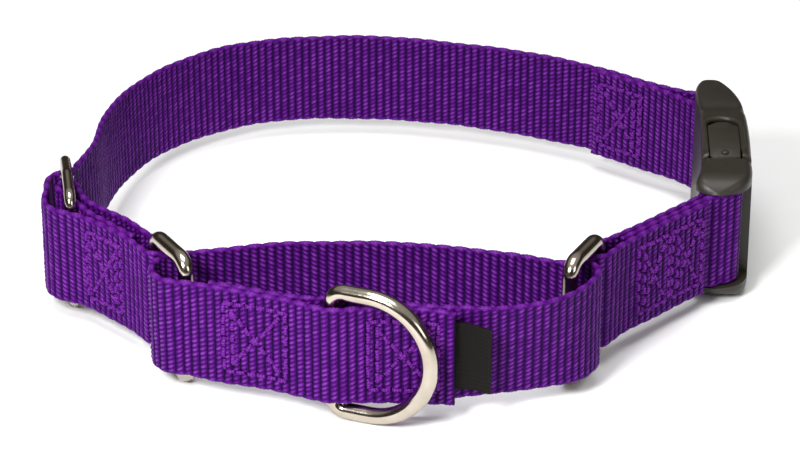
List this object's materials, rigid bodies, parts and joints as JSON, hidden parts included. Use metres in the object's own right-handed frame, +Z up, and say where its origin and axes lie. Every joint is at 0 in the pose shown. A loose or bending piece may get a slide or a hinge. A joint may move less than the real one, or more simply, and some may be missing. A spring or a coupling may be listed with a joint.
{
  "type": "martingale collar",
  "caption": "Purple nylon martingale dog collar with a nickel D-ring and slide, looped through two rings, and a black side-release buckle.",
  "frame": {"origin": "centre of the footprint, at the level that the collar stands on", "axes": "+Z up across the width of the webbing; -Y towards the martingale loop and leash ring; +X towards the buckle"},
  "size_m": [0.18, 0.175, 0.035],
  "materials": {
    "webbing": "woven nylon, soft sheen",
    "thread": "twisted nylon thread",
    "tag": "satin weave",
    "nickel": "polished nickel plate",
    "acetal": "moulded, fine satin"
  },
  "bodies": {
    "neck_band": {"neck_strap": "webbing", "slide_adjuster": "nickel", "buckle_socket": "acetal", "seam_socket_fold_face": "thread", "seam_socket_fold_back": "thread", "seam_slide_fold_face": "thread", "seam_slide_fold_back": "thread"},
    "left_ring": {"left_loop_ring": "nickel"},
    "martingale_loop": {"loop_strap": "webbing", "seam_loop_left_face": "thread", "seam_loop_left_back": "thread", "seam_loop_right_face": "thread", "seam_loop_right_back": "thread", "label": "tag"},
    "leash_ring": {"d_ring": "nickel"},
    "plug_end": {"buckle_plug": "acetal", "tab_strap": "webbing", "seam_tab_ring_face": "thread", "seam_tab_ring_back": "thread", "seam_tab_plug_face": "thread", "seam_tab_plug_back": "thread"},
    "right_ring": {"right_loop_ring": "nickel"},
    "top_arm": {"buckle_arm_top": "acetal"},
    "bottom_arm": {"buckle_arm_bottom": "acetal"}
  },
  "joints": [
    {"name": "buckle_release", "type": "slide", "parent": "neck_band", "child": "plug_end", "axis": [-0.0523, -0.9986, 0], "range_m": [0, 0.026]},
    {"name": "loop_swing", "type": "hinge", "parent": "neck_band", "child": "martingale_loop", "pos_m": [-0.0509, -0.06147, 0.0175], "axis": [0, 0, 1], "range_deg": [-16.6, 0]},
    {"name": "right_ring_swing", "type": "hinge", "parent": "plug_end", "child": "right_ring", "pos_m": [0.0472, -0.04847, 0.0175], "axis": [0, 0, 1], "range_deg": [-15.2, 0]},
    {"name": "left_ring_swing", "type": "hinge", "parent": "neck_band", "child": "left_ring", "pos_m": [-0.0591, -0.04687, 0.0175], "axis": [0, 0, 1], "range_deg": [-3, 3]},
    {"name": "leash_ring_swing", "type": "hinge", "parent": "martingale_loop", "child": "leash_ring", "pos_m": [-0.0161, -0.07627, 0.0175], "axis": [0, 0, -1], "range_deg": [0, 140]},
    {"name": "top_arm_squeeze", "type": "hinge", "parent": "plug_end", "child": "top_arm", "pos_m": [0.08213, -0.00385, 0.0298], "axis": [-0.9986, 0.0523, 0], "range_deg": [0, 7], "stiffness_Nm_per_rad": 1.2},
    {"name": "bottom_arm_squeeze", "type": "hinge", "parent": "plug_end", "child": "bottom_arm", "pos_m": [0.08213, -0.00385, 0.0052], "axis": [-0.9986, 0.0523, 0], "range_deg": [-7, 0], "stiffness_Nm_per_rad": 1.2}
  ],
  "couplings": [
    {"joint": "loop_swing", "follows": "buckle_release", "rad_per_m": -11},
    {"joint": "right_ring_swing", "follows": "buckle_release", "rad_per_m": -10}
  ]
}
